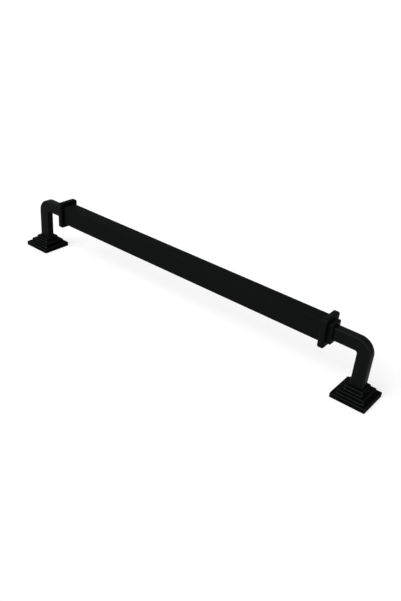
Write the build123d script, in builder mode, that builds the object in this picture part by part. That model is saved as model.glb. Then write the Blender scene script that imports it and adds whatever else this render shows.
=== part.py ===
from build123d import *
import os

# Cabinet pull with a straight grip bar, two stepped collars, two bent end brackets and two stepped square feet.
# All sizes are in millimetres. The origin lies on the mounting face, midway between the two fixing screws.
# +X runs along the grip bar, +Y across it, and +Z points away from the door or drawer front.

# Reach of the pull: spacing of the fixing screws, and the grip bar's centre line above the mounting face
screw_spacing = 305.0
grip_height = 39.0

# Grip bar, a solid rectangular bar
bar_depth = 11.1
bar_height = 15.5
bar_edge_radius = 0.4

# Brackets, bent from one rounded rectangular bar: an arm along the grip bar and a leg down to the foot
bracket_width = 9.5
bracket_depth = 6.3
bracket_edge_radius = 0.75
bend_inner_radius = 1.5
arm_reach = 22.3

# Collars: a large plate against the grip bar and a smaller step towards the arm
plate_margin = 3.1
plate_thickness = 4.3
plate_corner_radius = 1.5
plate_edge_chamfer = 0.5
step_depth = 10.0
step_height = 15.2
step_thickness = 3.2
step_corner_radius = 0.9
step_edge_chamfer = 0.4

# Seats that stop the pieces turning: the bar's end in the plate, the arm's end in the step, the leg's end in the foot
bar_seat = 1.2
arm_seat = 1.0
leg_seat = 1.0

# Spigot that runs from the arm through the collar into the grip bar
arm_spigot_radius = 2.2
arm_spigot_grip = 14.0
spigot_chamfer = 0.3
collar_bore_radius = 2.3
bar_bore_relief = 1.0

# Feet: square levels that shrink by one inset a side and rise by one step each
foot_side = 25.4
foot_levels = 3
level_rise = 3.2
level_inset = 3.15
foot_corner_radius = 0.8
level_edge_chamfer = 0.35

# Fixing: a machine screw passes up through the foot into a tapped hole in the leg, drawn at its tap drill's size
screw_radius = 1.65
screw_depth = 16.0
foot_bore_radius = 2.25

# Play between pieces that slide together
clearance = 0.05

# Places that follow from the sizes above
leg_x = screw_spacing / 2
foot_height = foot_levels * level_rise
leg_end_z = foot_height - leg_seat
step_outer_x = leg_x - arm_reach
plate_outer_x = step_outer_x - step_thickness
plate_inner_x = plate_outer_x - plate_thickness
arm_end_x = step_outer_x - arm_seat
bar_end_x = plate_inner_x + bar_seat
bend_radius = bend_inner_radius + bracket_width / 2
arm_spigot_length = arm_end_x - bar_end_x + arm_spigot_grip


def facing_out(sign, x):
    """Plane across the grip bar at distance x from the middle, with its normal towards the end of that side."""
    return Plane(origin=(sign * x, 0, grip_height), x_dir=(0, 1, 0), z_dir=(sign, 0, 0))


def outward(sign):
    """Axis along the grip bar that points towards the end of that side."""
    return Axis((0, 0, 0), (sign, 0, 0))


def at_leg(sign, z):
    """Plane at height z on the leg's centre line, parallel to the mounting face, with its normal away from the door."""
    return Plane(origin=(sign * leg_x, 0, z))


def make_bar():
    """Grip bar between the two collars, bored at each end for a bracket's spigot."""
    with BuildPart() as bar:
        with BuildSketch(facing_out(1, -bar_end_x)):
            RectangleRounded(bar_depth, bar_height, bar_edge_radius)
        extrude(amount=2 * bar_end_x)
        for sign in (-1, 1):
            with Locations(facing_out(sign, bar_end_x)):
                Hole(arm_spigot_radius + clearance, depth=arm_spigot_grip + bar_bore_relief)
    return bar.part


def make_collar(sign):
    """Stepped collar: the bar's end is seated in its plate, and the arm's end in its step."""
    with BuildPart() as collar:
        with BuildSketch(facing_out(sign, plate_inner_x)):
            RectangleRounded(bar_depth + 2 * plate_margin, bar_height + 2 * plate_margin, plate_corner_radius)
        extrude(amount=plate_thickness)
        plate_faces = collar.faces().sort_by(outward(sign))
        chamfer(plate_faces[0].edges() + plate_faces[-1].edges(), plate_edge_chamfer)
        with BuildSketch(facing_out(sign, plate_outer_x)):
            RectangleRounded(step_depth, step_height, step_corner_radius)
        extrude(amount=step_thickness)
        step_face = collar.faces().sort_by(outward(sign))[-1]
        chamfer(step_face.edges(), step_edge_chamfer)
        with BuildSketch(facing_out(sign, plate_inner_x)):
            RectangleRounded(bar_depth + 2 * clearance, bar_height + 2 * clearance, bar_edge_radius + clearance)
        extrude(amount=bar_seat, mode=Mode.SUBTRACT)
        with BuildSketch(facing_out(sign, step_outer_x)):
            RectangleRounded(
                bracket_depth + 2 * clearance, bracket_width + 2 * clearance, bracket_edge_radius + clearance
            )
        extrude(amount=-arm_seat, mode=Mode.SUBTRACT)
        with Locations(facing_out(sign, arm_end_x)):
            Hole(collar_bore_radius)
    return collar.part


def make_bracket(sign):
    """End bracket: arm, bend and leg in one piece, with a spigot on the arm and the screw hole up the leg."""
    arm_end = (sign * arm_end_x, 0, grip_height)
    corner = (sign * leg_x, 0, grip_height)
    leg_end = (sign * leg_x, 0, leg_end_z)
    with BuildPart() as bracket:
        with BuildLine() as spine:
            FilletPolyline(arm_end, corner, leg_end, radius=bend_radius)
        with BuildSketch(facing_out(sign, arm_end_x)):
            RectangleRounded(bracket_depth, bracket_width, bracket_edge_radius)
        sweep(path=spine.wires()[0])
        with BuildSketch(facing_out(sign, arm_end_x)):
            Circle(arm_spigot_radius)
        extrude(amount=-arm_spigot_length)
        spigot_tip = bracket.faces().sort_by(outward(sign))[0]
        chamfer(spigot_tip.edges(), spigot_chamfer)
        with BuildSketch(at_leg(sign, leg_end_z)):
            Circle(screw_radius)
        extrude(amount=screw_depth, mode=Mode.SUBTRACT)
    return bracket.part


def make_foot(sign):
    """Stepped square foot: a stack of levels with a seat for the leg in its top and a bore for the fixing screw."""
    with BuildPart() as foot:
        for level in range(foot_levels):
            side = foot_side - 2 * level * level_inset
            with BuildSketch(at_leg(sign, level * level_rise)):
                RectangleRounded(side, side, foot_corner_radius)
            extrude(amount=level_rise)
            top_face = foot.faces().sort_by(Axis.Z)[-1]
            chamfer(top_face.edges(), level_edge_chamfer)
        with BuildSketch(at_leg(sign, foot_height)):
            RectangleRounded(
                bracket_width + 2 * clearance, bracket_depth + 2 * clearance, bracket_edge_radius + clearance
            )
        extrude(amount=-leg_seat, mode=Mode.SUBTRACT)
        with Locations(at_leg(sign, leg_end_z)):
            Hole(foot_bore_radius)
    return foot.part


pieces = {"grip_bar": make_bar()}
for side_name, side_sign in (("left", -1), ("right", 1)):
    pieces[f"{side_name}_collar"] = make_collar(side_sign)
    pieces[f"{side_name}_bracket"] = make_bracket(side_sign)
    pieces[f"{side_name}_foot"] = make_foot(side_sign)

os.makedirs("parts", exist_ok=True)
for name, piece in pieces.items():
    piece.label = name
    export_step(piece, f"parts/{name}.step")
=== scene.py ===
import logging
import math
from dataclasses import dataclass
from enum import Enum

import bmesh
import bpy
from bpy.types import ID, Material, Node, NodeSocket, NodeTree, Object, World
from bpy.types import bpy_prop_collection as Sockets
from mathutils import Matrix, Vector


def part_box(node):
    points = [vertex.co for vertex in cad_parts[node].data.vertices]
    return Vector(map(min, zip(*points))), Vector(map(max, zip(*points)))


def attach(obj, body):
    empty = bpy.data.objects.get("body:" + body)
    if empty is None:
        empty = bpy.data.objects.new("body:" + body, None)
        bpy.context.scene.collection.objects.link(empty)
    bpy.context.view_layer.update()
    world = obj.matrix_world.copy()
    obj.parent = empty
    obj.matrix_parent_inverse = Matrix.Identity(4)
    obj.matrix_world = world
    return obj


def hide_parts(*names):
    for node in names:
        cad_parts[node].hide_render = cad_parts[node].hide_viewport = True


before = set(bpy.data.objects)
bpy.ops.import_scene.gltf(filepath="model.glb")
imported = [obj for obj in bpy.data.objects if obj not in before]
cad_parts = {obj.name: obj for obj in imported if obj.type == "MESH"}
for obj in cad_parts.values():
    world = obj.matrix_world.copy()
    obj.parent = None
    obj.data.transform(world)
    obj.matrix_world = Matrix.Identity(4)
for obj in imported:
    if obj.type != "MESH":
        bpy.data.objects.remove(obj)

# Sizes are in metres. The origin lies on the mounting face, midway between the two fixing screws.
# +X runs along the grip bar, +Y across it, and +Z points away from the door or drawer front.

log = logging.getLogger("pull")
MM = 0.001
PLAY = 0.05 * MM
QUARTER_TURN = math.pi / 2
CORNERS = 4
WHITE = (1.0, 1.0, 1.0, 1.0)

# Points or steps on each round shape
CORNER_POINTS = 9
FILLET_STEPS = 8
BEND_STEPS = 24
SPIGOT_POINTS = 40
THREAD_POINTS = 36
THREAD_RINGS_A_TURN = 6
BORE_POINTS = 48

# Distance under which points are joined, in grown meshes and in stacked outlines
WELD = 1e-6
FINE_WELD = 1e-7

# Angle in degrees from which an edge between two faces stays sharp
SHARP_FROM = 32.0

# Numbers of a Mix node's colour sockets, which share their names with its other sockets
MIX_FIRST = 6
MIX_SECOND = 7
MIX_RESULT = 2

# Layout of the nodes in the editor
NODES_A_ROW = 12
NODE_WIDTH = 190
NODE_HEIGHT = 240


class Side(Enum):
    """The two ends of the pull, with the sign of X on each."""

    LEFT = -1
    RIGHT = 1

    @property
    def word(self) -> str:
        """Name of the side in the pieces' names."""
        return self.name.lower()


def new_object(name: str, data: ID) -> Object:
    """Create an object for a mesh, a lamp or a camera, and put it in the scene.

    Args:
        name: Name of the object.
        data: What the object holds.

    Returns:
        The object, at the origin.
    """
    made = bpy.data.objects.new(name, data)
    bpy.context.scene.collection.objects.link(made)
    return made


# Node trees

class Tree:
    """A node tree under construction, with short calls to add and join its nodes."""

    def __init__(self, tree: NodeTree) -> None:
        """Start on a node tree.

        Args:
            tree: The node tree that the calls work on.
        """
        self.tree = tree
        self.count = 0

    def takes(self, kind: str, *names: str) -> None:
        """Add named inputs of one kind, such as Float, to the tree's interface."""
        for name in names:
            self.tree.interface.new_socket(name, in_out="INPUT", socket_type="NodeSocket" + kind)

    def gives(self, kind: str, *names: str) -> None:
        """Add named outputs of one kind, such as Float, to the tree's interface."""
        for name in names:
            self.tree.interface.new_socket(name, in_out="OUTPUT", socket_type="NodeSocket" + kind)

    def given(self) -> Sockets:
        """Sockets that hold the tree's own inputs, by name."""
        return self.add("NodeGroupInput").outputs

    def add(self, kind: str, inputs: dict | None = None, **settings: object) -> Node:
        """Add a node, set its properties and fill its inputs.

        Args:
            kind: Node type.
            inputs: Values or sockets, by input name or number.
            settings: Properties of the node.

        Returns:
            The new node.
        """
        node = self.tree.nodes.new(kind)
        self.count += 1
        row, column = divmod(self.count, NODES_A_ROW)
        node.location = (NODE_WIDTH * column, -NODE_HEIGHT * row)
        for name, value in settings.items():
            setattr(node, name, value)
        for key, value in (inputs or {}).items():
            self.fill(node.inputs[key], value)
        return node

    def first(self, kind: str, inputs: dict | None = None, **settings: object) -> NodeSocket:
        """Add a node as add does, and take its first output."""
        return self.add(kind, inputs, **settings).outputs[0]

    def fill(self, target: NodeSocket, value: object) -> None:
        """Link a socket to an input, or write a plain value into it.

        Args:
            target: The input.
            value: An output socket or a plain value.
        """
        if isinstance(value, NodeSocket):
            self.tree.links.new(value, target)
        else:
            target.default_value = value

    def math(self, operation: str, *values: object) -> NodeSocket:
        """Result of a math node with that operation and one to three operands."""
        return self.first("ShaderNodeMath", dict(enumerate(values)), operation=operation)

    def plus(self, one: object, other: object) -> NodeSocket:
        """Sum of two values."""
        return self.math("ADD", one, other)

    def minus(self, one: object, other: object) -> NodeSocket:
        """Difference of two values."""
        return self.math("SUBTRACT", one, other)

    def times(self, one: object, other: object) -> NodeSocket:
        """Product of two values."""
        return self.math("MULTIPLY", one, other)

    def over(self, one: object, other: object) -> NodeSocket:
        """Quotient of two values."""
        return self.math("DIVIDE", one, other)

    def vector_math(self, operation: str, *values: object) -> NodeSocket:
        """Result of a vector math node with that operation and one or two operands."""
        return self.first("ShaderNodeVectorMath", dict(enumerate(values)), operation=operation)

    def vector(self, x: object, y: object, z: object) -> NodeSocket:
        """Vector from three values."""
        return self.first("ShaderNodeCombineXYZ", {"X": x, "Y": y, "Z": z})

    def parts(self, vector: object) -> Sockets:
        """Sockets with the X, Y and Z of a vector."""
        return self.add("ShaderNodeSeparateXYZ", {"Vector": vector}).outputs

    def spread(
        self, value: object, start: object, end: object, low: object, high: object, **settings: object
    ) -> NodeSocket:
        """Spread a value from one range over another.

        Args:
            value: The value.
            start: Value that gives the low end, and so does all before it.
            end: Value that gives the high end, and so does all past it.
            low: The low end.
            high: The high end.
            settings: Properties of the node.

        Returns:
            The result's socket.
        """
        inputs = {"Value": value, "From Min": start, "From Max": end, "To Min": low, "To Max": high}
        return self.first("ShaderNodeMapRange", inputs, **settings)

    def noise(self, place: object, scale: object, detail: float, roughness: float) -> NodeSocket:
        """Soft noise with its fineness, its layers of detail and how much the finer ones count."""
        inputs = {"Vector": place, "Scale": scale, "Detail": detail, "Roughness": roughness}
        return self.first("ShaderNodeTexNoise", inputs)

    def seen_rays(self) -> NodeSocket:
        """Choice between the rays that show something and those that only light it.

        Returns:
            A socket with 1 for rays that go to the camera or come by a reflection or through glass, and 0
            for the rest.
        """
        rays = self.add("ShaderNodeLightPath").outputs
        seen = self.math("MAXIMUM", rays["Is Camera Ray"], rays["Is Glossy Ray"])
        return self.math("MAXIMUM", seen, rays["Is Transmission Ray"])

    def mixed_colour(self, share: object, one: object, other: object) -> NodeSocket:
        """Colour between two, nearer to the other the larger the share."""
        inputs = {"Factor": share, MIX_FIRST: one, MIX_SECOND: other}
        return self.add("ShaderNodeMix", inputs, data_type="RGBA", blend_type="MIX").outputs[MIX_RESULT]

    def blend(self, share: float, one: object, other: object) -> NodeSocket:
        """Sum of a share of one value and the rest of another."""
        return self.plus(self.times(one, share), self.times(other, 1.0 - share))


class ShapeTree(Tree):
    """A Geometry Nodes tree under construction, with short calls for the shapes that the pieces share."""

    def __init__(self, name: str) -> None:
        """Start a new tree.

        Args:
            name: Name of the tree.
        """
        super().__init__(bpy.data.node_groups.new(name, "GeometryNodeTree"))

    def line(self, *places: NodeSocket) -> NodeSocket:
        """Curve of straight runs through a few places.

        Args:
            places: The places in order, each a vector socket.

        Returns:
            The curve.
        """
        points = self.first("GeometryNodeMeshLine", {"Count": len(places)}, mode="OFFSET")
        chosen = self.add("GeometryNodeIndexSwitch", data_type="VECTOR")
        while len(chosen.index_switch_items) < len(places):
            chosen.index_switch_items.new()
        self.fill(chosen.inputs[0], self.first("GeometryNodeInputIndex"))
        for at, place in enumerate(places):
            self.fill(chosen.inputs[at + 1], place)
        moved = self.first("GeometryNodeSetPosition", {"Geometry": points, "Position": chosen.outputs[0]})
        return self.first("GeometryNodeMeshToCurve", {"Mesh": moved})

    def circle(self, points: int, radius: object) -> NodeSocket:
        """Round curve."""
        return self.first("GeometryNodeCurvePrimitiveCircle", {"Resolution": points, "Radius": radius})

    def round_off(self, curve: object, steps: object, radius: object) -> NodeSocket:
        """Curve with its corners rounded in a number of steps each."""
        inputs = {"Curve": curve, "Count": steps, "Radius": radius, "Limit Radius": True}
        return self.first("GeometryNodeFilletCurve", inputs, mode="POLY")

    def rounded_rectangle(self, width: object, height: object, radius: object) -> NodeSocket:
        """Closed curve around a rectangle with rounded corners."""
        sides = self.first("GeometryNodeCurvePrimitiveQuadrilateral", {"Width": width, "Height": height})
        return self.round_off(sides, FILLET_STEPS, radius)

    def sweep(self, curve: object, section: object) -> NodeSocket:
        """Mesh of a section that is drawn along a curve, closed at both ends."""
        inputs = {"Curve": curve, "Profile Curve": section, "Fill Caps": True}
        return self.first("GeometryNodeCurveToMesh", inputs)

    def flip(self, mesh: object) -> NodeSocket:
        """Mesh with its faces turned over."""
        return self.first("GeometryNodeFlipFaces", {"Mesh": mesh})

    def weld(self, mesh: object) -> NodeSocket:
        """Mesh with the points joined that lie on one another."""
        return self.first("GeometryNodeMergeByDistance", {"Geometry": mesh, "Distance": WELD})

    def shift(self, mesh: object, by: object) -> NodeSocket:
        """Mesh moved by a vector."""
        return self.first("GeometryNodeTransform", {"Geometry": mesh, "Translation": by})

    def union(self, *meshes: object) -> NodeSocket:
        """One solid from several that overlap.

        Args:
            meshes: The solids.

        Returns:
            The joined solid.
        """
        joined = self.add("GeometryNodeMeshBoolean", operation="UNION", solver="MANIFOLD")
        for mesh in meshes:
            self.fill(joined.inputs["Mesh 2"], mesh)
        return joined.outputs[0]

    def cut(self, mesh: object, *cutters: object) -> NodeSocket:
        """Solid less a few others.

        Args:
            mesh: The solid.
            cutters: The solids that are taken away.

        Returns:
            The rest of the solid.
        """
        inputs = {"Mesh 1": mesh}
        rest = self.add("GeometryNodeMeshBoolean", inputs, operation="DIFFERENCE", solver="MANIFOLD")
        for cutter in cutters:
            self.fill(rest.inputs["Mesh 2"], cutter)
        return rest.outputs[0]

    def end(self, mesh: object, finish: object) -> NodeTree:
        """Give the mesh its material and make it the tree's result.

        Args:
            mesh: The mesh.
            finish: Its material.

        Returns:
            The finished tree.
        """
        realized = self.first("GeometryNodeRealizeInstances", {"Geometry": mesh})
        dressed = self.first("GeometryNodeSetMaterial", {"Geometry": realized, "Material": finish})
        self.add("NodeGroupOutput", {"Geometry": dressed})
        return self.tree


def shader_tree(owner: Material | World) -> Tree:
    """Start the shader tree of a material or a world, without the nodes that come with it.

    Args:
        owner: The material or the world.

    Returns:
        The empty tree.
    """
    owner.use_nodes = True
    owner.node_tree.nodes.clear()
    return Tree(owner.node_tree)


def rounded_rectangle_group() -> NodeTree:
    """Geometry node group that gives the place of one point on a rounded rectangle.

    Returns:
        The group, with the number of the point, the half sizes, the corner radius and the points on each
        corner as inputs, and X and Y as outputs.
    """
    tree = ShapeTree("Rounded rectangle point")
    tree.takes("Float", "Point", "Half X", "Half Y", "Corner Radius", "Corner Points")
    tree.gives("Float", "X", "Y")
    given = tree.given()
    corner = tree.math("FLOOR", tree.over(given["Point"], given["Corner Points"]))
    within = tree.math("MODULO", given["Point"], given["Corner Points"])
    share = tree.over(within, tree.minus(given["Corner Points"], 1.0))
    angle = tree.times(tree.plus(corner, share), QUARTER_TURN)
    middle = tree.times(tree.plus(corner, 0.5), QUARTER_TURN)
    smaller = tree.math("MINIMUM", given["Half X"], given["Half Y"])
    radius = tree.math("MINIMUM", given["Corner Radius"], smaller)
    places = []
    for half, function in ((given["Half X"], "COSINE"), (given["Half Y"], "SINE")):
        sign = tree.math("SIGN", tree.math(function, middle))
        centre = tree.times(sign, tree.minus(half, radius))
        places.append(tree.plus(centre, tree.times(radius, tree.math(function, angle))))
    tree.add("NodeGroupOutput", {"X": places[0], "Y": places[1]})
    return tree.tree


def grown_piece(name: str, tree: NodeTree, values: dict[str, object]) -> Object:
    """Evaluate a geometry node tree and keep the result as a plain mesh.

    Args:
        name: Name of the new piece.
        tree: The tree.
        values: Value of each of its inputs, by name.

    Returns:
        An object at the origin that holds the mesh, with no modifier.
    """
    seed = new_object(name, bpy.data.meshes.new(name + "_seed"))
    modifier = seed.modifiers.new("Shape", "NODES")
    modifier.node_group = tree
    for item in tree.interface.items_tree:
        if item.item_type == "SOCKET" and item.in_out == "INPUT":
            modifier[item.identifier] = values[item.name]
    seed.update_tag()
    bpy.context.view_layer.update()
    evaluated = seed.evaluated_get(bpy.context.evaluated_depsgraph_get())
    mesh = bpy.data.meshes.new_from_object(evaluated)
    mesh.name = name
    seed.modifiers.remove(modifier)
    empty = seed.data
    seed.data = mesh
    bpy.data.meshes.remove(empty)
    return seed


# Meshes made of stacked outlines

@dataclass(frozen=True)
class Outline:
    """A rounded rectangle across a piece's own axis, as one step of its skin.

    Attributes:
        along: Place on the piece's axis.
        half_a: Half the size on the first direction across.
        half_b: Half the size on the second direction across.
        corner: Corner radius. A circle has it equal to both half sizes.
    """

    along: float
    half_a: float
    half_b: float
    corner: float

    def points(self) -> list[tuple[float, float]]:
        """Points around the outline.

        Returns:
            Their places on the two directions across.
        """
        corner = min(self.corner, self.half_a, self.half_b)
        found = []
        for quarter in range(CORNERS):
            middle = (quarter + 0.5) * QUARTER_TURN
            centre_a = math.copysign(self.half_a - corner, math.cos(middle))
            centre_b = math.copysign(self.half_b - corner, math.sin(middle))
            for step in range(CORNER_POINTS):
                angle = (quarter + step / (CORNER_POINTS - 1)) * QUARTER_TURN
                found.append((centre_a + corner * math.cos(angle), centre_b + corner * math.sin(angle)))
        return found


def circle(along: float, radius: float) -> Outline:
    """Round outline of that radius."""
    return Outline(along, radius, radius, radius)


def eased_edge(outer: Outline, ease: float, steps: int, leaving: bool) -> list[Outline]:
    """Outlines that round off the edge between a piece's side and its end face.

    Args:
        outer: The full outline, at the end face's place.
        ease: Size of the rounded edge.
        steps: Number of steps of the round.
        leaving: Whether the skin comes from the side and turns onto the end face that looks along the axis.

    Returns:
        The outlines in the order in which the skin meets them.
    """
    found = []
    for step in range(steps + 1):
        angle = step / steps * QUARTER_TURN
        inward = ease * (1 - math.cos(angle))
        back = ease * (1 - math.sin(angle))
        along = outer.along - back if leaving else outer.along + back
        found.append(Outline(along, outer.half_a - inward, outer.half_b - inward, outer.corner - inward))
    return found if leaving else found[::-1]


def skin(name: str, outlines: list[Outline], place: Matrix, ring: bool) -> Object:
    """Closed mesh through a row of outlines.

    Args:
        name: Name of the piece.
        outlines: The outlines in order.
        place: Turns the piece's own axes (across, across, along) into the row frame.
        ring: Whether the last outline joins the first, as on a piece with a bore right through.

    Returns:
        An object at the origin that holds the mesh.
    """
    made = bmesh.new()
    rows = []
    for outline in outlines:
        rows.append([made.verts.new(place @ Vector((a, b, outline.along))) for a, b in outline.points()])
    pairs = list(zip(rows, rows[1:]))
    if ring:
        pairs.append((rows[-1], rows[0]))
    for first, second in pairs:
        for at in range(len(first)):
            after = (at + 1) % len(first)
            made.faces.new((first[at], first[after], second[after], second[at]))
    if not ring:
        made.faces.new(rows[0][::-1])
        made.faces.new(rows[-1])
    bmesh.ops.remove_doubles(made, verts=made.verts, dist=FINE_WELD)
    bmesh.ops.recalc_face_normals(made, faces=made.faces)
    mesh = bpy.data.meshes.new(name)
    made.to_mesh(mesh)
    made.free()
    return new_object(name, mesh)


def along_x(side: Side, height: float) -> Matrix:
    """Turn a piece's own axes so that its length points along X, out towards one side.

    Args:
        side: The side that the piece's axis points to.
        height: Height of the axis over the mounting face.

    Returns:
        The matrix, whose first direction across is Y and whose second is Z.
    """
    turn = Matrix(((0, 0, side.value), (1, 0, 0), (0, 1, 0))).to_4x4()
    return Matrix.Translation((0, 0, height)) @ turn


# Finishes

@dataclass(frozen=True)
class CoatTexture:
    """Fine texture of the black coat, which all of its finishes share.

    Attributes:
        grain_detail: Layers of finer and finer detail in the grain.
        grain_roughness: How much its finer layers count.
        cloud_detail: Layers of finer and finer detail in the faint clouds.
        cloud_roughness: How much their finer layers count.
        speck_fineness: Fineness of the specks, as a share of the grain's.
        grain_in_tone: Share of the grain in the tone. The clouds give the rest.
        tone_range: Noise at which the coat is darkest and lightest.
        roughness_range: Noise at which the coat is smoothest and roughest.
        grain_in_height: Share of the grain in the height. The specks give the rest.
    """

    grain_detail: float = 2.0
    grain_roughness: float = 0.5
    cloud_detail: float = 3.0
    cloud_roughness: float = 0.55
    speck_fineness: float = 0.6
    grain_in_tone: float = 0.55
    tone_range: tuple[float, float] = (0.35, 0.65)
    roughness_range: tuple[float, float] = (0.3, 0.7)
    grain_in_height: float = 0.7

    def group(self) -> NodeTree:
        """Build the shader node group.

        Returns:
            The group. Its inputs are the place, the fineness of the grain and of the clouds, the two tones
            and the two roughnesses, and its outputs are a colour, a roughness and a height.
        """
        tree = Tree(bpy.data.node_groups.new("Black coat texture", "ShaderNodeTree"))
        tree.takes("Vector", "Place")
        tree.takes("Float", "Grain per metre", "Clouds per metre", "Smoothest", "Roughest")
        tree.takes("Color", "Dark tone", "Light tone")
        tree.gives("Color", "Color")
        tree.gives("Float", "Roughness", "Height")
        given = tree.given()
        place = given["Place"]
        fineness = given["Grain per metre"]
        grain = tree.noise(place, fineness, self.grain_detail, self.grain_roughness)
        clouds = tree.noise(place, given["Clouds per metre"], self.cloud_detail, self.cloud_roughness)
        speck_scale = tree.times(fineness, self.speck_fineness)
        specks = tree.first("ShaderNodeTexVoronoi", {"Vector": place, "Scale": speck_scale})
        share = tree.spread(tree.blend(self.grain_in_tone, grain, clouds), *self.tone_range, 0.0, 1.0)
        outputs = {
            "Color": tree.mixed_colour(share, given["Dark tone"], given["Light tone"]),
            "Roughness": tree.spread(clouds, *self.roughness_range, given["Smoothest"], given["Roughest"]),
            "Height": tree.blend(self.grain_in_height, grain, specks),
        }
        tree.add("NodeGroupOutput", outputs)
        return tree.tree


@dataclass(frozen=True)
class PaintedLightMasks:
    """Finder of edges and inner corners, where the coats' colour takes painted highlights and painted
    shade. All of its finishes share it.

    Attributes:
        samples: Rays that look around each point.
        gain: What brings the mask to 1 where the normal lies midway between two faces.
        reach: How far the search for inner corners goes, as a multiple of the soft edge's width.
        open_from: Share of free directions from which a point isn't in an inner corner.
        closed_at: Share of free directions at which it is deep in one.
    """

    samples: int = 8
    gain: float = 4.0
    reach: float = 2.0
    open_from: float = 0.95
    closed_at: float = 0.6

    def group(self) -> NodeTree:
        """Build the shader node group.

        Returns:
            The group. Its inputs are the width of the soft edge and how much edges along Y count. Its
            outputs are a mask with 1 on an edge and 0 on a flat face, a second mask for the inner corners
            alone, and a normal that is rounded over both. The two masks place the highlights and shade
            that are painted into the colour.
        """
        tree = Tree(bpy.data.node_groups.new("Painted light masks", "ShaderNodeTree"))
        tree.takes("Float", "Width", "Edges along Y")
        tree.gives("Float", "Edge", "Inner corner")
        tree.gives("Vector", "Normal")
        given = tree.given()
        normal = tree.first("ShaderNodeBevel", {"Radius": given["Width"]}, samples=self.samples)
        parts = tree.parts(normal)
        x, y, z = (tree.times(parts[axis], parts[axis]) for axis in "XYZ")
        to_y = tree.times(y, tree.plus(x, z))
        along_y = tree.times(tree.times(x, z), given["Edges along Y"])
        edge = tree.math("MINIMUM", tree.times(tree.plus(to_y, along_y), self.gain), 1.0)
        looked_at = {"Distance": tree.times(given["Width"], self.reach)}
        free = tree.add("ShaderNodeAmbientOcclusion", looked_at, samples=self.samples, only_local=True)
        closed = tree.spread(free.outputs["AO"], self.open_from, self.closed_at, 0.0, 1.0)
        corner = tree.times(edge, closed)
        tree.add("NodeGroupOutput", {"Edge": edge, "Inner corner": corner, "Normal": normal})
        return tree.tree


@dataclass(frozen=True)
class CoatFinish:
    """Matte black coat on one kind of metal piece, whose colour also holds painted light along its edges
    and in its inner corners.

    Attributes:
        name: Name of the material.
        dark: Darkest tone, in linear values.
        light: Lightest tone, in linear values.
        smoothest: Lowest roughness.
        roughest: Highest roughness.
        shine: Specular level of the coat.
        edge: Painted highlight along the edges, as a tone in linear values.
        corner: Tone painted into the inner corners, in linear values: painted shade where it is darker than
            the coat, a painted highlight where it is lighter.
        edge_width: Width over which an edge looks soft, in metres.
        edges_along_y: Whether edges that run along Y take the painted edge and corner light as well. They
            don't on a bar that bends there.
        grain_per_metre: Fineness of the grain.
        clouds_per_metre: Fineness of the faint clouds.
        drawn_out: How many times longer the grain is along the bar than across it.
        height: Depth of the grain, in metres.
        height_strength: How much of that depth the light shows.
    """

    name: str
    dark: tuple[float, float, float]
    light: tuple[float, float, float]
    smoothest: float
    roughest: float
    shine: float
    edge: tuple[float, float, float]
    corner: tuple[float, float, float]
    edge_width: float
    edges_along_y: bool = True
    grain_per_metre: float = 1800.0
    clouds_per_metre: float = 60.0
    drawn_out: float = 1.0
    height: float = 0.02 * MM
    height_strength: float = 0.5

    def material(self, texture: NodeTree, edges: NodeTree) -> Material:
        """Build the material.

        Args:
            texture: The coat's texture group.
            edges: The group that finds the edges and inner corners, where light and shade are painted.

        Returns:
            The material.
        """
        made = bpy.data.materials.new(self.name)
        tree = shader_tree(made)
        place = tree.add("ShaderNodeTexCoord").outputs["Object"]
        stretch = {"Vector": place, "Scale": (1.0 / self.drawn_out, 1.0, 1.0)}
        coat_values = {
            "Place": tree.first("ShaderNodeMapping", stretch),
            "Grain per metre": self.grain_per_metre,
            "Clouds per metre": self.clouds_per_metre,
            "Dark tone": (*self.dark, 1.0),
            "Light tone": (*self.light, 1.0),
            "Smoothest": self.smoothest,
            "Roughest": self.roughest,
        }
        coat = tree.add("ShaderNodeGroup", coat_values, node_tree=texture).outputs
        edge_values = {"Width": self.edge_width, "Edges along Y": float(self.edges_along_y)}
        painted_light_masks = tree.add("ShaderNodeGroup", edge_values, node_tree=edges).outputs
        # Painted highlights along the edges, then the corner tone in the inner corners: painted shade where
        # it is darker than the coat, a painted highlight where it is lighter.
        tone = tree.mixed_colour(painted_light_masks["Edge"], coat["Color"], (*self.edge, 1.0))
        tone = tree.mixed_colour(painted_light_masks["Inner corner"], tone, (*self.corner, 1.0))
        bump = {
            "Strength": self.height_strength,
            "Distance": self.height,
            "Height": coat["Height"],
            "Normal": painted_light_masks["Normal"],
        }
        look = {
            "Base Color": tone,
            "Roughness": coat["Roughness"],
            "Specular IOR Level": self.shine,
            "Normal": tree.first("ShaderNodeBump", bump),
        }
        tree.add("ShaderNodeOutputMaterial", {"Surface": tree.first("ShaderNodeBsdfPrincipled", look)})
        return made


# In each coat the edge tone is a painted highlight along the edges. The corner tone is painted shade where
# it is darker than the coat, as on the collars, and a painted highlight where it is lighter, as on the
# feet. The feet's coat is also darker all over than the others.
BAR_COAT = CoatFinish(
    name="bar black coat",
    dark=(0.0044, 0.0052, 0.0048),
    light=(0.0055, 0.0063, 0.0059),
    smoothest=0.44,
    roughest=0.54,
    shine=0.002,
    edge=(0.0053, 0.0061, 0.0057),
    corner=(0.0046, 0.0054, 0.0050),
    edge_width=0.3 * MM,
    grain_per_metre=2200.0,
    drawn_out=3.0,
)
BRACKET_COAT = CoatFinish(
    name="bracket black coat",
    dark=(0.0037, 0.0043, 0.0040),
    light=(0.0048, 0.0054, 0.0051),
    smoothest=0.38,
    roughest=0.48,
    shine=0.015,
    edge=(0.0120, 0.0128, 0.0124),
    corner=(0.0036, 0.0042, 0.0039),
    edge_width=0.4 * MM,
    edges_along_y=False,
)
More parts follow.
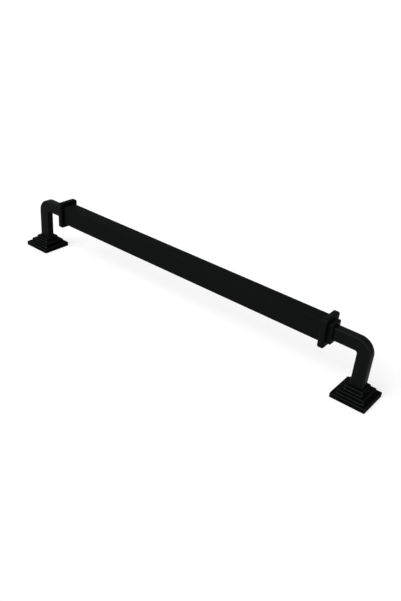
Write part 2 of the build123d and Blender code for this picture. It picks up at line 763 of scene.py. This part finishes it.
COLLAR_COAT = CoatFinish(
    name="collar black coat",
    dark=(0.0042, 0.0048, 0.0045),
    light=(0.0054, 0.0061, 0.0057),
    smoothest=0.38,
    roughest=0.48,
    shine=0.007,
    edge=(0.0054, 0.0060, 0.0057),
    corner=(0.0020, 0.0024, 0.0022),
    edge_width=0.4 * MM,
)
FOOT_COAT = CoatFinish(
    name="foot black coat",
    dark=(0.0013, 0.0016, 0.0014),
    light=(0.0022, 0.0026, 0.0024),
    smoothest=0.44,
    roughest=0.54,
    shine=0.004,
    edge=(0.0148, 0.0156, 0.0152),
    corner=(0.0330, 0.0345, 0.0338),
    edge_width=0.6 * MM,
)


def settle(piece: Object, finish: Material, node: str) -> Object:
    """Dress a piece, let it ride on the pull's body and let it stand for its solid.

    Args:
        piece: The piece.
        finish: Its material.
        node: Name of the solid's node.

    Returns:
        The same piece, with smooth faces and sharp edges.
    """
    mesh = piece.data
    mesh.materials.clear()
    mesh.materials.append(finish)
    mesh.polygons.foreach_set("material_index", [0] * len(mesh.polygons))
    mesh.shade_smooth()
    mesh.set_sharp_from_angle(angle=math.radians(SHARP_FROM))
    mesh.update()
    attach(piece, "root")
    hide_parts(node)
    log.info("%s stands for %s, %d faces", piece.name, node, len(mesh.polygons))
    return piece


# The grip bar

@dataclass
class GripBar:
    """Straight grip bar with a blind bore for a spigot in each end.

    Attributes:
        depth: Size across, along Y.
        height: Size away from the door, along Z.
        half_length: Half the length, along X.
        centre_height: Height of the centre line over the mounting face.
        edge: Radius of the long edges.
        bore: Radius of the bores.
        bore_depth: Depth of the bores.
        ease: Size of the eased edge around each end face.
        ease_steps: Steps of that edge's round.
    """

    depth: float
    height: float
    half_length: float
    centre_height: float
    edge: float = 0.4 * MM
    bore: float = 2.25 * MM
    bore_depth: float = 15.0 * MM
    ease: float = 0.12 * MM
    ease_steps: int = 3

    def build(self, finish: Material) -> Object:
        """Build the bar, dress it and let it stand for its solid.

        Args:
            finish: The bar's coat.

        Returns:
            The bar.
        """
        section = (self.depth / 2, self.height / 2, self.edge)
        end = self.half_length
        outlines = [circle(-end + self.bore_depth, self.bore), circle(-end, self.bore)]
        outlines += eased_edge(Outline(-end, *section), self.ease, self.ease_steps, leaving=False)
        outlines += eased_edge(Outline(end, *section), self.ease, self.ease_steps, leaving=True)
        outlines += [circle(end, self.bore), circle(end - self.bore_depth, self.bore)]
        piece = skin("grip_bar_skin", outlines, along_x(Side.RIGHT, self.centre_height), ring=False)
        return settle(piece, finish, "grip_bar")


# The collars

@dataclass
class Collar:
    """Stepped collar between the grip bar and a bracket, with a seat in each face and a bore through both.

    Attributes:
        side: The end of the pull that it sits on.
        inner: Place of the plate's inner face, measured from the middle of the pull.
        plate: Half sizes of the plate along Y and Z.
        bar_seat: Half sizes of the seat for the grip bar along Y and Z.
        arm_seat: Half sizes of the seat for the arm along Y and Z.
        centre_height: Height of the centre line over the mounting face.
        plate_thickness: Thickness of the plate.
        plate_corner: Radius of the plate's corners.
        plate_edge: Size of the plate's eased edges.
        step: Half sizes of the step along Y and Z.
        step_thickness: Thickness of the step.
        step_corner: Radius of the step's corners.
        step_edge: Size of the step's eased edge.
        ease_steps: Steps of each eased edge's round.
        bar_seat_depth: Depth of the seat for the grip bar.
        bar_seat_corner: Radius of that seat's corners.
        arm_seat_depth: Depth of the seat for the arm.
        arm_seat_corner: Radius of that seat's corners.
        bore: Radius of the bore for the arm's spigot.
    """

    side: Side
    inner: float
    plate: tuple[float, float]
    bar_seat: tuple[float, float]
    arm_seat: tuple[float, float]
    centre_height: float
    plate_thickness: float = 4.3 * MM
    plate_corner: float = 2.1 * MM
    plate_edge: float = 0.9 * MM
    step: tuple[float, float] = (5.0 * MM, 7.6 * MM)
    step_thickness: float = 3.2 * MM
    step_corner: float = 0.9 * MM
    step_edge: float = 0.4 * MM
    ease_steps: int = 4
    bar_seat_depth: float = 1.2 * MM
    bar_seat_corner: float = 0.45 * MM
    arm_seat_depth: float = 1.0 * MM
    arm_seat_corner: float = 0.8 * MM
    bore: float = 2.3 * MM

    @property
    def outer(self) -> float:
        """Place of the step's outer face, measured from the middle of the pull."""
        return self.inner + self.plate_thickness + self.step_thickness

    @property
    def arm_end(self) -> float:
        """Place of the arm's end in its seat, measured from the middle of the pull."""
        return self.outer - self.arm_seat_depth

    def build(self, finish: Material) -> Object:
        """Build the collar, dress it and let it stand for its solid.

        Args:
            finish: The collar's coat.

        Returns:
            The collar.
        """
        middle = self.inner + self.plate_thickness
        bar_end = self.inner + self.bar_seat_depth
        plate = (*self.plate, self.plate_corner)
        step = (*self.step, self.step_corner)
        bar_seat = (*self.bar_seat, self.bar_seat_corner)
        arm_seat = (*self.arm_seat, self.arm_seat_corner)
        outlines = [circle(bar_end, self.bore), Outline(bar_end, *bar_seat), Outline(self.inner, *bar_seat)]
        outlines += eased_edge(Outline(self.inner, *plate), self.plate_edge, self.ease_steps, leaving=False)
        outlines += eased_edge(Outline(middle, *plate), self.plate_edge, self.ease_steps, leaving=True)
        outlines += [Outline(middle, *step)]
        outlines += eased_edge(Outline(self.outer, *step), self.step_edge, self.ease_steps, leaving=True)
        outlines += [Outline(self.outer, *arm_seat), Outline(self.arm_end, *arm_seat)]
        outlines += [circle(self.arm_end, self.bore)]
        name = f"{self.side.word}_collar"
        piece = skin(name + "_skin", outlines, along_x(self.side, self.centre_height), ring=True)
        return settle(piece, finish, name)


# The brackets

def bent_bar_tree() -> NodeTree:
    """Geometry nodes for a bracket: a rounded bar that follows the arm, the bend and the leg.

    Returns:
        The tree. A spigot joins the arm's end, and a tapped hole runs up from the leg's end.
    """
    tree = ShapeTree("Bent bracket")
    tree.takes("Vector", "Arm End", "Corner", "Leg End")
    tree.takes("Vector", "Spigot Tip", "Spigot Root", "Hole Top", "Hole Mouth")
    tree.takes("Float", "Width", "Depth", "Edge Radius", "Bend Radius", "Spigot Radius")
    tree.takes("Float", "Thread Crest", "Thread Root", "Thread Pitch")
    tree.takes("Int", "Bend Steps", "Thread Rings")
    tree.takes("Material", "Finish")
    tree.gives("Geometry", "Geometry")
    given = tree.given()
    spine = tree.line(given["Arm End"], given["Corner"], given["Leg End"])
    bent = tree.round_off(spine, given["Bend Steps"], given["Bend Radius"])
    facing_y = {"Curve": bent, "Normal": (0.0, 1.0, 0.0)}
    upright = tree.first("GeometryNodeSetCurveNormal", facing_y, mode="FREE")
    section = tree.rounded_rectangle(given["Depth"], given["Width"], given["Edge Radius"])
    bar = tree.sweep(upright, section)
    spigot_line = tree.line(given["Spigot Tip"], given["Spigot Root"])
    spigot = tree.sweep(spigot_line, tree.circle(SPIGOT_POINTS, given["Spigot Radius"]))
    joined = tree.union(bar, spigot)
    return tree.end(tree.cut(joined, thread_plug(tree, given)), given["Finish"])


def thread_plug(tree: ShapeTree, given: Sockets) -> NodeSocket:
    """Threaded rod that cuts the tapped hole: rings along a line, whose points swing out on a helix.

    Args:
        tree: The tree under construction.
        given: The tree's inputs.

    Returns:
        The rod's mesh.
    """
    line = tree.line(given["Hole Top"], given["Hole Mouth"])
    along = {"Curve": line, "Count": given["Thread Rings"]}
    rings = tree.first("GeometryNodeResampleCurve", along, mode="COUNT")
    rod = tree.sweep(rings, tree.circle(THREAD_POINTS, given["Thread Crest"]))
    position = tree.first("GeometryNodeInputPosition")
    parts = tree.parts(tree.vector_math("SUBTRACT", position, given["Hole Mouth"]))
    turn = tree.over(tree.math("ARCTAN2", parts["Y"], parts["X"]), 2 * math.pi)
    turns_up = tree.over(parts["Z"], given["Thread Pitch"])
    phase = tree.math("FRACT", tree.minus(turns_up, turn))
    from_middle = tree.minus(tree.times(phase, 2.0), 1.0)
    wave = tree.minus(1.0, tree.math("ABSOLUTE", from_middle))
    deep = tree.times(wave, tree.minus(given["Thread Root"], given["Thread Crest"]))
    outward = tree.vector_math("NORMALIZE", tree.vector(parts["X"], parts["Y"], 0.0))
    swing = tree.vector_math("MULTIPLY", outward, deep)
    return tree.first("GeometryNodeSetPosition", {"Geometry": rod, "Offset": swing})


@dataclass
class Bracket:
    """End bracket: arm, bend and leg of one bent bar, with a spigot and a tapped hole.

    Attributes:
        side: The end of the pull that it sits on.
        arm_end: Place of the arm's end on X, measured from the middle of the pull.
        leg: Place of the leg's centre line on X, measured from the middle of the pull.
        leg_end: Height of the leg's end.
        centre_height: Height of the arm's centre line.
        spigot_tip: Place of the spigot's tip on X, measured from the middle of the pull.
        width: Size of the bar in the plane of the bend.
        depth: Size of the bar across that plane, along Y.
        edge: Radius of the bar's edges.
        inner_bend: Radius of the bend on its inner side.
        spigot: Radius of the spigot.
        thread_crest: Radius of the tapped hole at the thread's crests.
        thread_root: Radius of the tapped hole at the thread's roots.
        thread_pitch: Distance from one turn of the thread to the next.
        hole_depth: Depth of the tapped hole.
        past: How far a helper solid reaches past the face that it joins or cuts.
    """

    side: Side
    arm_end: float
    leg: float
    leg_end: float
    centre_height: float
    spigot_tip: float
    width: float
    depth: float
    edge: float = 0.75 * MM
    inner_bend: float = 1.5 * MM
    spigot: float = 2.2 * MM
    thread_crest: float = 1.65 * MM
    thread_root: float = 2.0 * MM
    thread_pitch: float = 0.7 * MM
    hole_depth: float = 16.0 * MM
    past: float = 0.5 * MM

    def place(self, from_middle: float, height: float) -> tuple[float, float, float]:
        """Place in the plane of the bend, by its distance from the pull's middle and its height."""
        return (self.side.value * from_middle, 0.0, height)

    def build(self, tree: NodeTree, finish: Material) -> Object:
        """Grow the bracket, dress it and let it stand for its solid.

        Args:
            tree: The bracket's geometry nodes.
            finish: The bracket's coat.

        Returns:
            The bracket.
        """
        name = f"{self.side.word}_bracket"
        thread_turns = (self.hole_depth + self.past) / self.thread_pitch
        values = {
            "Arm End": self.place(self.arm_end, self.centre_height),
            "Corner": self.place(self.leg, self.centre_height),
            "Leg End": self.place(self.leg, self.leg_end),
            "Spigot Tip": self.place(self.spigot_tip, self.centre_height),
            "Spigot Root": self.place(self.arm_end + self.past, self.centre_height),
            "Hole Top": self.place(self.leg, self.leg_end + self.hole_depth),
            "Hole Mouth": self.place(self.leg, self.leg_end - self.past),
            "Width": self.width,
            "Depth": self.depth,
            "Edge Radius": self.edge,
            "Bend Radius": self.inner_bend + self.width / 2,
            "Spigot Radius": self.spigot,
            "Thread Crest": self.thread_crest,
            "Thread Root": self.thread_root,
            "Thread Pitch": self.thread_pitch,
            "Bend Steps": BEND_STEPS,
            "Thread Rings": 1 + round(thread_turns * THREAD_RINGS_A_TURN),
            "Finish": finish,
        }
        piece = grown_piece(name + "_skin", tree, values)
        return settle(piece, finish, name)


# The feet

def level_stack(tree: ShapeTree, given: Sockets, outline: NodeTree) -> NodeSocket:
    """Solid of square levels: a grid whose rows become rings around the foot, from its base to its top.

    Each level has one ring at its lower end and the rings of its rounded upper edge. The first row and the
    last are drawn together to a point. Half a step is added before a division is rounded down, and rows are
    told apart midway between two numbers, so that a small error can't reach the next row.

    Args:
        tree: The tree under construction.
        given: The tree's inputs.
        outline: The group that gives the place of one point on a rounded rectangle.

    Returns:
        The solid's mesh.
    """
    per_level = tree.plus(given["Edge Steps"], 2.0)
    rings = tree.plus(tree.times(given["Levels"], per_level), 2.0)
    around = tree.times(given["Corner Points"], float(CORNERS))
    columns = tree.plus(around, 1.0)
    grid = tree.first("GeometryNodeMeshGrid", {"Vertices X": rings, "Vertices Y": columns})
    index = tree.first("GeometryNodeInputIndex")
    ring = tree.math("FLOOR", tree.over(tree.plus(index, 0.5), columns))
    point = tree.math("MODULO", tree.minus(index, tree.times(ring, columns)), around)
    step = tree.minus(ring, 1.0)
    level = tree.math("FLOOR", tree.over(tree.plus(step, 0.5), per_level))
    within = tree.minus(step, tree.times(level, per_level))
    edge_step = tree.math("MAXIMUM", tree.minus(within, 1.0), 0.0)
    angle = tree.times(tree.over(edge_step, given["Edge Steps"]), QUARTER_TURN)
    pulled_in = tree.times(given["Edge Radius"], tree.minus(1.0, tree.math("COSINE", angle)))
    below = tree.times(given["Edge Radius"], tree.minus(1.0, tree.math("SINE", angle)))
    half = tree.minus(given["Half Side"], tree.times(level, given["Inset"]))
    half = tree.minus(half, pulled_in)
    at_low_end = tree.math("LESS_THAN", within, 0.5)
    top = tree.minus(tree.times(tree.plus(level, 1.0), given["Rise"]), below)
    low = tree.times(level, given["Rise"])
    height = tree.plus(top, tree.times(at_low_end, tree.minus(low, top)))
    before_last = tree.minus(rings, 1.5)
    inside = tree.times(tree.math("GREATER_THAN", ring, 0.5), tree.math("LESS_THAN", ring, before_last))
    last = tree.math("GREATER_THAN", ring, before_last)
    full = tree.times(given["Levels"], given["Rise"])
    height = tree.plus(tree.times(inside, height), tree.times(last, full))
    half = tree.times(half, inside)
    values = {
        "Point": point,
        "Half X": half,
        "Half Y": half,
        "Corner Radius": tree.minus(given["Corner Radius"], pulled_in),
        "Corner Points": given["Corner Points"],
    }
    place = tree.add("GeometryNodeGroup", values, node_tree=outline).outputs
    moved = tree.vector_math("ADD", tree.vector(place["X"], place["Y"], height), given["Centre"])
    shaped = tree.first("GeometryNodeSetPosition", {"Geometry": grid, "Position": moved})
    return tree.weld(tree.flip(shaped))


def seat_cutter(tree: ShapeTree, given: Sockets) -> NodeSocket:
    """Block that cuts the seat for the leg: a rounded rectangle drawn upwards, with a floor under it.

    Args:
        tree: The tree under construction.
        given: The tree's inputs.

    Returns:
        The block's mesh.
    """
    size = tree.parts(given["Seat Size"])
    outline = tree.rounded_rectangle(size["X"], size["Y"], given["Seat Corner"])
    face = tree.first("GeometryNodeFillCurve", {"Curve": outline}, mode="NGONS")
    upwards = {"Mesh": face, "Offset": (0.0, 0.0, 1.0), "Offset Scale": size["Z"]}
    shell = tree.add("GeometryNodeJoinGeometry")
    tree.fill(shell.inputs[0], tree.first("GeometryNodeExtrudeMesh", upwards, mode="FACES"))
    tree.fill(shell.inputs[0], tree.flip(face))
    return tree.shift(tree.weld(shell.outputs[0]), given["Seat Centre"])


def stepped_foot_tree(outline: NodeTree) -> NodeTree:
    """Geometry nodes for a foot: square levels that each stand in from the one below.

    Args:
        outline: The group that gives the place of one point on a rounded rectangle.

    Returns:
        The tree. A seat for the leg is cut in its top, and a bore for the screw runs right through.
    """
    tree = ShapeTree("Stepped foot")
    tree.takes("Vector", "Centre", "Seat Centre", "Seat Size", "Bore Middle")
    tree.takes("Float", "Half Side", "Inset", "Rise", "Corner Radius", "Edge Radius")
    tree.takes("Float", "Seat Corner", "Bore Radius", "Bore Length")
    tree.takes("Int", "Levels", "Corner Points", "Edge Steps")
    tree.takes("Material", "Finish")
    tree.gives("Geometry", "Geometry")
    given = tree.given()
    levels = level_stack(tree, given, outline)
    seat = seat_cutter(tree, given)
    sizes = {"Vertices": BORE_POINTS, "Radius": given["Bore Radius"], "Depth": given["Bore Length"]}
    rod = tree.first("GeometryNodeMeshCylinder", sizes, fill_type="NGON")
    bore = tree.shift(rod, given["Bore Middle"])
    return tree.end(tree.cut(levels, seat, bore), given["Finish"])


@dataclass
class Foot:
    """Stepped square foot with a seat for the leg and a bore for the fixing screw.

    Attributes:
        side: The end of the pull that it stands under.
        leg: Place of the leg's centre line on X, measured from the middle of the pull.
        half_side: Half the side of the lowest level.
        height: Height of the foot.
        seat: Size of the seat along X and Y, and its depth.
        levels: Number of levels.
        inset: How far each level stands in from the one below.
        corner: Radius of the levels' corners.
        edge: Size of the levels' eased edges.
        edge_steps: Steps of each eased edge's round.
        seat_corner: Radius of the seat's corners.
        bore: Radius of the bore for the screw.
        past: How far a helper solid reaches past the face that it cuts.
    """

    side: Side
    leg: float
    half_side: float
    height: float
    seat: tuple[float, float, float]
    levels: int = 3
    inset: float = 3.15 * MM
    corner: float = 0.8 * MM
    edge: float = 0.35 * MM
    edge_steps: int = 4
    seat_corner: float = 0.8 * MM
    bore: float = 2.25 * MM
    past: float = 1.0 * MM

    def build(self, tree: NodeTree, finish: Material) -> Object:
        """Grow the foot, dress it and let it stand for its solid.

        Args:
            tree: The foot's geometry nodes.
            finish: The foot's coat.

        Returns:
            The foot.
        """
        x = self.side.value * self.leg
        name = f"{self.side.word}_foot"
        seat_x, seat_y, seat_depth = self.seat
        values = {
            "Centre": (x, 0.0, 0.0),
            "Half Side": self.half_side,
            "Inset": self.inset,
            "Rise": self.height / self.levels,
            "Corner Radius": self.corner,
            "Edge Radius": self.edge,
            "Levels": self.levels,
            "Corner Points": CORNER_POINTS,
            "Edge Steps": self.edge_steps,
            "Seat Centre": (x, 0.0, self.height - seat_depth),
            "Seat Size": (seat_x, seat_y, seat_depth + self.past),
            "Seat Corner": self.seat_corner,
            "Bore Middle": (x, 0.0, self.height / 2),
            "Bore Radius": self.bore,
            "Bore Length": self.height + 2 * self.past,
            "Finish": finish,
        }
        piece = grown_piece(name + "_skin", tree, values)
        return settle(piece, finish, name)


# The studio

@dataclass(frozen=True)
class SoftLamp:
    """Large soft lamp far away.

    Attributes:
        name: Name of the lamp.
        towards: Direction from the pull to the lamp.
        strength: Strength of the lamp.
        spread: Angle over which its light comes, in degrees.
        mirrored: Whether the lamp shows in reflections.
    """

    name: str
    towards: tuple[float, float, float]
    strength: float
    spread: float
    mirrored: bool

    def hang(self) -> Object:
        """Hang the lamp.

        Returns:
            The lamp.
        """
        data = bpy.data.lights.new(self.name, "SUN")
        data.energy = self.strength
        data.angle = math.radians(self.spread)
        lamp = new_object(self.name, data)
        lamp.rotation_euler = Vector(self.towards).to_track_quat("Z", "Y").to_euler()
        lamp.visible_glossy = self.mirrored
        return lamp


@dataclass(frozen=True)
class Studio:
    """White floor, plain soft light and white surroundings.

    Attributes:
        floor_half: Half the floor's side, in metres.
        floor_tone: Colour of the floor, a linear value.
        floor_roughness: Roughness of the floor.
        lift: What the floor adds for the camera and for reflections, so that it reads as white.
        even: Strength of the even light that comes from all around.
        sky: Strength of the surroundings high up, as seen and in reflections.
        white_up_to: Height over the horizon up to which the surroundings are white, in degrees.
        dim_from: Height over the horizon from which they have the strength of the sky, in degrees.
        lamps: The soft lamps.
    """

    floor_half: float = 20.0
    floor_tone: float = 0.30
    floor_roughness: float = 0.9
    lift: float = 0.70
    even: float = 0.22
    sky: float = 0.35
    white_up_to: float = 26.0
    dim_from: float = 36.0
    lamps: tuple[SoftLamp, ...] = (
        SoftLamp("upper left soft lamp", (-0.30, -0.58, 0.76), 2.3, 36.0, True),
        SoftLamp("low front soft lamp", (-0.10, -0.92, 0.35), 2.35, 60.0, True),
        SoftLamp("low back soft lamp", (-0.15, 0.97, 0.18), 2.0, 40.0, False),
    )

    def floor(self) -> Object:
        """Lay the white floor.

        Returns:
            The floor.
        """
        half = self.floor_half
        corners = [(-half, -half, 0), (half, -half, 0), (half, half, 0), (-half, half, 0)]
        mesh = bpy.data.meshes.new("floor")
        mesh.from_pydata(corners, [], [(0, 1, 2, 3)])
        floor = new_object("floor", mesh)
        material = bpy.data.materials.new("white floor")
        tree = shader_tree(material)
        look = {
            "Base Color": (self.floor_tone, self.floor_tone, self.floor_tone, 1.0),
            "Roughness": self.floor_roughness,
            "Specular IOR Level": 0.0,
            "Emission Color": WHITE,
            "Emission Strength": tree.times(tree.seen_rays(), self.lift),
        }
        tree.add("ShaderNodeOutputMaterial", {"Surface": tree.first("ShaderNodeBsdfPrincipled", look)})
        mesh.materials.append(material)
        return floor

    def surroundings(self) -> None:
        """Give the world a white horizon that dims towards the top, and a plain even light."""
        world = bpy.data.worlds.new("studio surroundings")
        bpy.context.scene.world = world
        tree = shader_tree(world)
        rise = tree.parts(tree.add("ShaderNodeTexCoord").outputs["Generated"])["Z"]
        start, end = (math.sin(math.radians(angle)) for angle in (self.white_up_to, self.dim_from))
        strength = tree.spread(rise, start, end, 1.0, self.sky, interpolation_type="SMOOTHSTEP")
        choice = {"Factor": tree.seen_rays(), "A": self.even, "B": strength}
        seen = tree.first("ShaderNodeMix", choice, data_type="FLOAT")
        light = tree.first("ShaderNodeBackground", {"Color": WHITE, "Strength": seen})
        tree.add("ShaderNodeOutputWorld", {"Surface": light})


@dataclass(frozen=True)
class PhotoCamera:
    """Camera at the photograph's place, fitted to the pull's straight edges.

    Attributes:
        yaw: Turn around the upright axis, in degrees.
        pitch: Tilt down, in degrees.
        roll: Turn around the line of sight, in degrees.
        distance: Distance to the point that it looks at, in metres.
        right: Place of that point to the right of the pull's middle, in metres.
        up: Place of that point above the pull's middle, in metres.
        look_height: Height of the pull's middle for those two, in metres.
        focal_pixels: Focal length in pixels of the photograph.
        image_height: Height of the photograph in pixels.
        sensor_height: Height of the camera's sensor, in millimetres.
        clip: Nearest and farthest distance that the camera sees, in metres.
    """

    yaw: float = 36.483
    pitch: float = 29.824
    roll: float = 5.169
    distance: float = 0.48821
    right: float = 0.01702
    up: float = -0.01860
    look_height: float = 0.03048
    focal_pixels: float = 653.95
    image_height: int = 601
    sensor_height: float = 36.0
    clip: tuple[float, float] = (0.01, 100.0)

    def place(self) -> Object:
        """Create the camera and make it the scene's.

        Returns:
            The camera.
        """
        yaw, pitch, roll = (math.radians(value) for value in (self.yaw, self.pitch, self.roll))
        level_share = math.cos(pitch)
        ahead = Vector((-math.sin(yaw) * level_share, math.cos(yaw) * level_share, -math.sin(pitch)))
        level = Vector((math.cos(yaw), math.sin(yaw), 0.0))
        above = level.cross(ahead)
        look = Vector((0.0, 0.0, self.look_height)) + level * self.right + above * self.up
        right = level * math.cos(roll) + above * math.sin(roll)
        top = above * math.cos(roll) - level * math.sin(roll)
        turn = Matrix((right, top, -ahead)).transposed().to_4x4()
        data = bpy.data.cameras.new("photo camera")
        data.sensor_fit = "VERTICAL"
        data.sensor_height = self.sensor_height
        data.lens = self.focal_pixels / self.image_height * self.sensor_height
        data.clip_start, data.clip_end = self.clip
        camera = new_object("photo camera", data)
        camera.matrix_world = Matrix.Translation(look - ahead * self.distance) @ turn
        bpy.context.scene.camera = camera
        return camera


# The whole pull

@dataclass(frozen=True)
class EndFinishes:
    """Coats of the pieces at one end of the pull.

    Attributes:
        collar: Coat of the collar.
        bracket: Coat of the bracket.
        foot: Coat of the foot.
    """

    collar: Material
    bracket: Material
    foot: Material


def build_end(
    side: Side,
    bar: GripBar,
    bent_bar: NodeTree,
    stepped_foot: NodeTree,
    finishes: EndFinishes,
) -> None:
    """Build the collar, the bracket and the foot of one end, with sizes that follow from the solids' boxes.

    Args:
        side: The end.
        bar: The grip bar.
        bent_bar: Geometry nodes of the brackets.
        stepped_foot: Geometry nodes of the feet.
        finishes: The coats of these pieces.
    """
    collar_low, collar_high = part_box(f"{side.word}_collar")
    foot_low, foot_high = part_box(f"{side.word}_foot")
    bracket_low, bracket_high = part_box(f"{side.word}_bracket")
    leg = abs(foot_low.x + foot_high.x) / 2
    inner_end, outer_end = sorted((abs(bracket_low.x), abs(bracket_high.x)))
    width = 2 * (outer_end - leg)
    depth = bracket_high.y - bracket_low.y
    collar = Collar(
        side=side,
        inner=min(abs(collar_low.x), abs(collar_high.x)),
        plate=(collar_high.y, (collar_high.z - collar_low.z) / 2),
        bar_seat=(bar.depth / 2 + PLAY, bar.height / 2 + PLAY),
        arm_seat=(depth / 2 + PLAY, width / 2 + PLAY),
        centre_height=bar.centre_height,
    )
    collar.build(finishes.collar)
    bracket = Bracket(
        side=side,
        arm_end=collar.arm_end,
        leg=leg,
        leg_end=bracket_low.z,
        centre_height=bar.centre_height,
        spigot_tip=inner_end,
        width=width,
        depth=depth,
    )
    bracket.build(bent_bar, finishes.bracket)
    foot = Foot(
        side=side,
        leg=leg,
        half_side=foot_high.y,
        height=foot_high.z,
        seat=(width + 2 * PLAY, depth + 2 * PLAY, foot_high.z - bracket_low.z),
    )
    foot.build(stepped_foot, finishes.foot)


def main() -> None:
    """Build the pull, the floor, the lamps and the camera."""
    logging.basicConfig(level=logging.INFO, format="%(name)s: %(message)s")
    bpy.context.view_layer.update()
    bpy.context.scene.view_settings.view_transform = "Standard"
    studio = Studio()
    studio.floor()
    studio.surroundings()
    for lamp in studio.lamps:
        lamp.hang()
    PhotoCamera().place()

    texture = CoatTexture().group()
    edges = PaintedLightMasks().group()
    bar_finish = BAR_COAT.material(texture, edges)
    end_finishes = EndFinishes(
        collar=COLLAR_COAT.material(texture, edges),
        bracket=BRACKET_COAT.material(texture, edges),
        foot=FOOT_COAT.material(texture, edges),
    )
    bent_bar = bent_bar_tree()
    stepped_foot = stepped_foot_tree(rounded_rectangle_group())

    low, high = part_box("grip_bar")
    bar = GripBar(high.y - low.y, high.z - low.z, high.x, (low.z + high.z) / 2)
    bar.build(bar_finish)
    for side in Side:
        build_end(side, bar, bent_bar, stepped_foot, end_finishes)

    bpy.context.view_layer.update()


if __name__ == "__main__":
    main()
